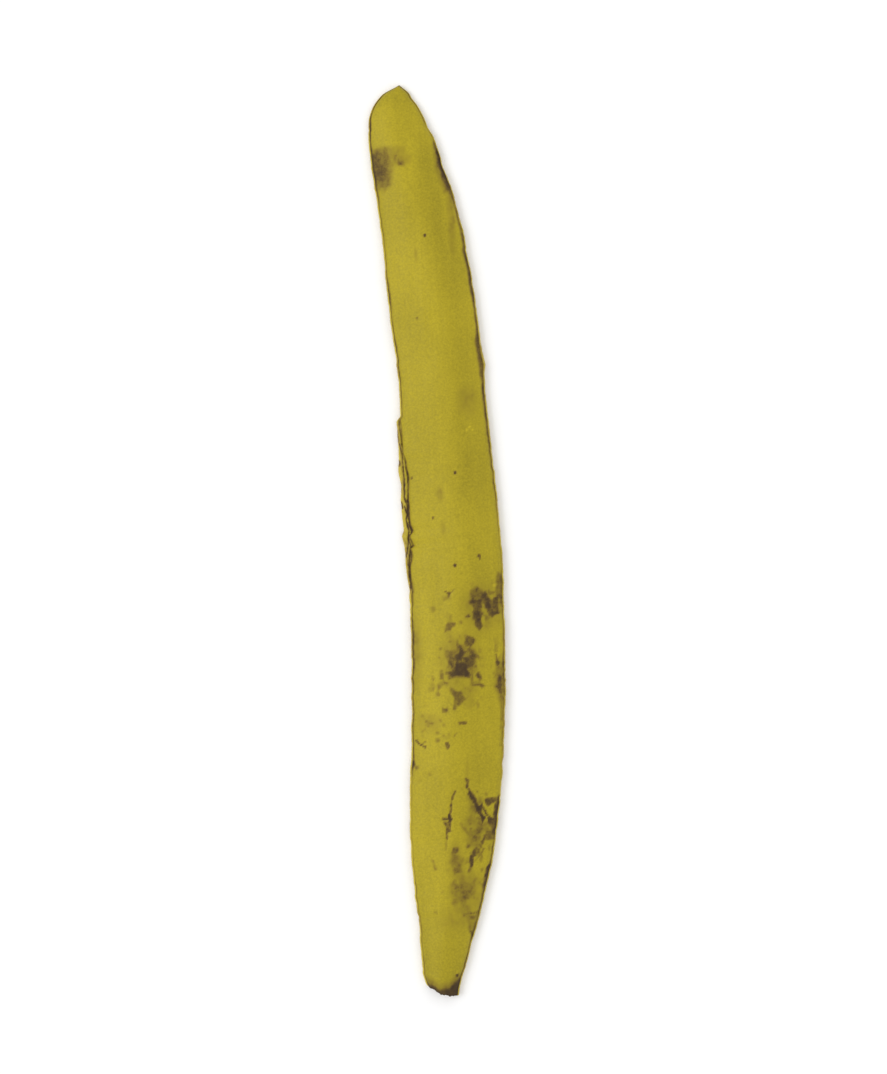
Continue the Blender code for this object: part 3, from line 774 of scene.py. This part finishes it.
def ring_map(values):
    """Map places of the ring's grid, with the strip's whole length twice as high as the map."""
    middle = values[STATIONS // 2, :, :3]
    steps = np.linalg.norm(np.diff(middle, axis=0, append=middle[:1]), axis=1)
    u = np.concatenate([[0.0], np.cumsum(steps)]) / steps.sum()
    v = np.linspace(0, 2 * MAP_LENGTH, STATIONS + 1)
    across, along = MAP_MARGIN + MAP_WIDTH * u[None, :], MAP_MARGIN + v[:, None]
    return np.stack(np.broadcast_arrays(across, along), axis=2)


def cap_map(start):
    """Map places of an end's closing grid, above the strip's two lengths."""
    u = start + MAP_MARGIN + MAP_WIDTH * np.linspace(0, 1, COLUMNS + 1)
    v = 1 - MAP_MARGIN - CAP_HEIGHT * np.linspace(0, 1, CAP_ROWS + 1)
    return np.stack(np.broadcast_arrays(u[None, :], v[:, None]), axis=2)


def in_frame(places):
    """From the drawing's millimetres to the part's own frame."""
    shift_x = PEEL_LOW[0] - min(x for _, x in LEFT_EDGE) * MM
    return places * MM + np.array([shift_x, PEEL_LOW[1], PEEL_LOW[2]])


def make_peel():
    vertices, faces, map_places = peel_geometry()
    mesh = bpy.data.meshes.new("peel_strip")
    mesh.from_pydata(in_frame(vertices[:, :3]).tolist(), [], faces.tolist())
    for column, name in enumerate(LOOKS, start=BROWN):
        values = vertices[:, column].astype(np.float32)
        mesh.attributes.new(name, "FLOAT", "POINT").data.foreach_set("value", values)
    mesh.uv_layers.new(name="OFBake").uv.foreach_set("vector", map_places.astype(np.float32).ravel())
    mesh.shade_smooth()
    mesh.materials.append(peel_material())
    peel = bpy.data.objects.new("peel_strip", mesh)
    bpy.context.scene.collection.objects.link(peel)
    return peel


class Nodes:
    """Short calls that add and join the nodes of one material."""

    def __init__(self, name):
        self.material = bpy.data.materials.new(name)
        self.material.use_nodes = True
        self.tree = self.material.node_tree
        self.shader = self.tree.nodes["Principled BSDF"]

    def link(self, value, socket):
        """Joins an output to a socket, or sets a plain value on it."""
        if isinstance(value, bpy.types.NodeSocket):
            self.tree.links.new(value, socket)
        else:
            socket.default_value = value

    def add(self, kind, output=0, settings=None, **inputs):
        made = self.tree.nodes.new(kind)
        for key, value in (settings or {}).items():
            setattr(made, key, value)
        for key, value in inputs.items():
            self.link(value, made.inputs[key.replace("_", " ")])
        return made.outputs[output]

    def math(self, operation, first, second=0.0, clamp=False):
        made = self.tree.nodes.new("ShaderNodeMath")
        made.operation = operation
        made.use_clamp = clamp
        self.link(first, made.inputs[0])
        self.link(second, made.inputs[1])
        return made.outputs[0]

    def attribute(self, name):
        return self.add("ShaderNodeAttribute", "Fac", {"attribute_name": name})

    def noise(self, vector, size, detail=3.0, roughness=0.55):
        """Noise about 0, whose waves are about this long in metres where the vector isn't stretched."""
        made = self.add(
            "ShaderNodeTexNoise", 0, Vector=vector, Scale=1 / size, Detail=detail, Roughness=roughness
        )
        return self.math("SUBTRACT", made, 0.5)

    def colours(self, place, stops):
        made = self.tree.nodes.new("ShaderNodeValToRGB")
        elements = made.color_ramp.elements
        while len(elements) < len(stops):
            elements.new(0.5)
        for element, (position, colour) in zip(elements, stops):
            element.position = position
            element.color = (*colour, 1.0)
        self.link(place, made.inputs[0])
        return made.outputs[0]

    def mix(self, share, first, second, blend="MIX"):
        made = self.tree.nodes.new("ShaderNodeMix")
        made.data_type = "RGBA"
        made.blend_type = blend
        for key, value in (("Factor_Float", share), ("A_Color", first), ("B_Color", second)):
            self.link(value, next(socket for socket in made.inputs if socket.identifier == key))
        return next(socket for socket in made.outputs if socket.identifier == "Result_Color")

    def total(self, *terms):
        """The sum of (weight, value) terms."""
        found = 0.0
        for weight, value in terms:
            found = self.math("ADD", self.math("MULTIPLY", value, weight), found)
        return found


def peel_material():
    """Satin yellow skin that stains brown, and matte stringy pith. The mesh says where each is."""
    n = Nodes("peel")
    plain = n.add("ShaderNodeTexCoord", "Object")
    lengthways = n.add("ShaderNodeMapping", 0, Vector=plain, Scale=(1.0, DRAWN_OUT, 1.0))
    brown, tone, inside = n.attribute("brown"), n.attribute("tone"), n.attribute("inside")
    mottle = n.noise(plain, 0.9 * MM, 5.0, 0.7)
    grain = n.noise(plain, 0.45 * MM, 3.0, 0.65)
    streaks = n.noise(lengthways, 0.9 * MM, 3.0)
    strings = n.noise(lengthways, 0.45 * MM, 4.0, 0.6)

    half_brown = n.math("MULTIPLY", brown, n.math("SUBTRACT", 1.15, brown))
    broken = n.math("MULTIPLY", half_brown, n.total((3.4, mottle), (1.2, grain)))
    stain = n.math("ADD", brown, broken, clamp=True)
    skin = n.colours(stain, SKIN_COLOURS)
    pith = n.colours(n.math("ADD", stain, n.math("MULTIPLY", strings, 0.35)), PITH_COLOURS)
    # The tone carries painted shade on the right face, the left margin and the tip, besides the skin's
    # streaks and haze.
    light = n.math("ADD", n.total((0.1, tone), (0.1, streaks), (0.6, grain), (0.2, mottle)), 1.0)
    grey = n.add("ShaderNodeCombineColor", 0, Red=light, Green=light, Blue=light)
    colour = n.mix(1.0, n.mix(inside, skin, pith), grey, "MULTIPLY")
    n.link(colour, n.shader.inputs["Base Color"])

    skin_rough = n.math("ADD", n.total((STAIN_ROUGHNESS, stain), (MOTTLE_ROUGHNESS, mottle)), SKIN_ROUGHNESS)
    rough = n.math("ADD", n.math("MULTIPLY", inside, PITH_ROUGHNESS), skin_rough, clamp=True)
    n.link(rough, n.shader.inputs["Roughness"])
    n.shader.inputs["Specular IOR Level"].default_value = SPECULAR

    skin_bump = n.total((0.5, streaks), (0.35, grain), (0.4, mottle))
    pith_bump = n.total((3.0, strings), (1.0, grain))
    height = n.math("ADD", skin_bump, n.math("MULTIPLY", inside, pith_bump))
    bump = n.add("ShaderNodeBump", 0, Height=height, Strength=1.0, Distance=BUMP_DEPTH * MM)
    n.link(bump, n.shader.inputs["Normal"])
    return n.material


# The stage: floor, light and camera
FLOOR_SIZE = 12.0  # times the strip's length
FLOOR_COLOUR = (0.93, 0.93, 0.93, 1.0)
FLOOR_ROUGHNESS = 0.9
WORLD_LIGHT = 0.95
KEY_PLACE = (-6.0, 1.2, 6.0)  # in strip lengths from the strip's middle
KEY_SIZE = 4.0  # strip lengths
KEY_POWER = 9.0  # watts
VIEW_HEIGHT = 1.178  # the picture's height, in strip lengths
LENS = 100.0
SENSOR = 36.0
CAMERA_ROLL = math.radians(-2.81)
CAMERA_OFFSET = (-0.26, 0.6)  # mm from the middle of the strip's footprint
VIEW_LEVEL = 1.2  # mm above the floor, where the picture's height is measured


def make_floor(length):
    mesh = bpy.data.meshes.new("floor")
    half = FLOOR_SIZE * length / 2
    corners = [(-half, -half, 0), (half, -half, 0), (half, half, 0), (-half, half, 0)]
    mesh.from_pydata(corners, [], [(0, 1, 2, 3)])
    n = Nodes("floor")
    n.shader.inputs["Base Color"].default_value = FLOOR_COLOUR
    n.shader.inputs["Roughness"].default_value = FLOOR_ROUGHNESS
    mesh.materials.append(n.material)
    floor = bpy.data.objects.new("floor", mesh)
    floor.location.z = CAD_LOW[2]
    bpy.context.scene.collection.objects.link(floor)
    return floor


def make_lights(length, middle):
    world = bpy.data.worlds.new("studio")
    world.use_nodes = True
    world.node_tree.nodes["Background"].inputs["Color"].default_value = (1, 1, 1, 1)
    world.node_tree.nodes["Background"].inputs["Strength"].default_value = WORLD_LIGHT
    bpy.context.scene.world = world
    key = bpy.data.lights.new("key", "AREA")
    key.size = KEY_SIZE * length
    key.energy = KEY_POWER
    lamp = bpy.data.objects.new("key", key)
    lamp.location = middle + Vector(KEY_PLACE) * length
    lamp.rotation_euler = (middle - lamp.location).to_track_quat("-Z", "Y").to_euler()
    bpy.context.scene.collection.objects.link(lamp)


def make_camera(length, middle):
    data = bpy.data.cameras.new("camera")
    data.lens = LENS
    data.sensor_width = SENSOR
    camera = bpy.data.objects.new("camera", data)
    distance = VIEW_HEIGHT * length * LENS / SENSOR
    camera.location.x = middle.x + CAMERA_OFFSET[0] * MM
    camera.location.y = middle.y + CAMERA_OFFSET[1] * MM
    camera.location.z = CAD_LOW[2] + VIEW_LEVEL * MM + distance
    camera.rotation_euler = (0.0, 0.0, CAMERA_ROLL)
    bpy.context.scene.collection.objects.link(camera)
    bpy.context.scene.camera = camera


def main():
    peel = make_peel()
    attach(peel, "root")
    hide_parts("banana_peel")

    length = CAD_HIGH[1] - CAD_LOW[1]
    middle = Vector(((CAD_LOW[0] + CAD_HIGH[0]) / 2, (CAD_LOW[1] + CAD_HIGH[1]) / 2, CAD_LOW[2]))
    make_floor(length)
    make_lights(length, middle)
    make_camera(length, middle)
    bpy.context.scene.view_settings.view_transform = "Standard"


main()
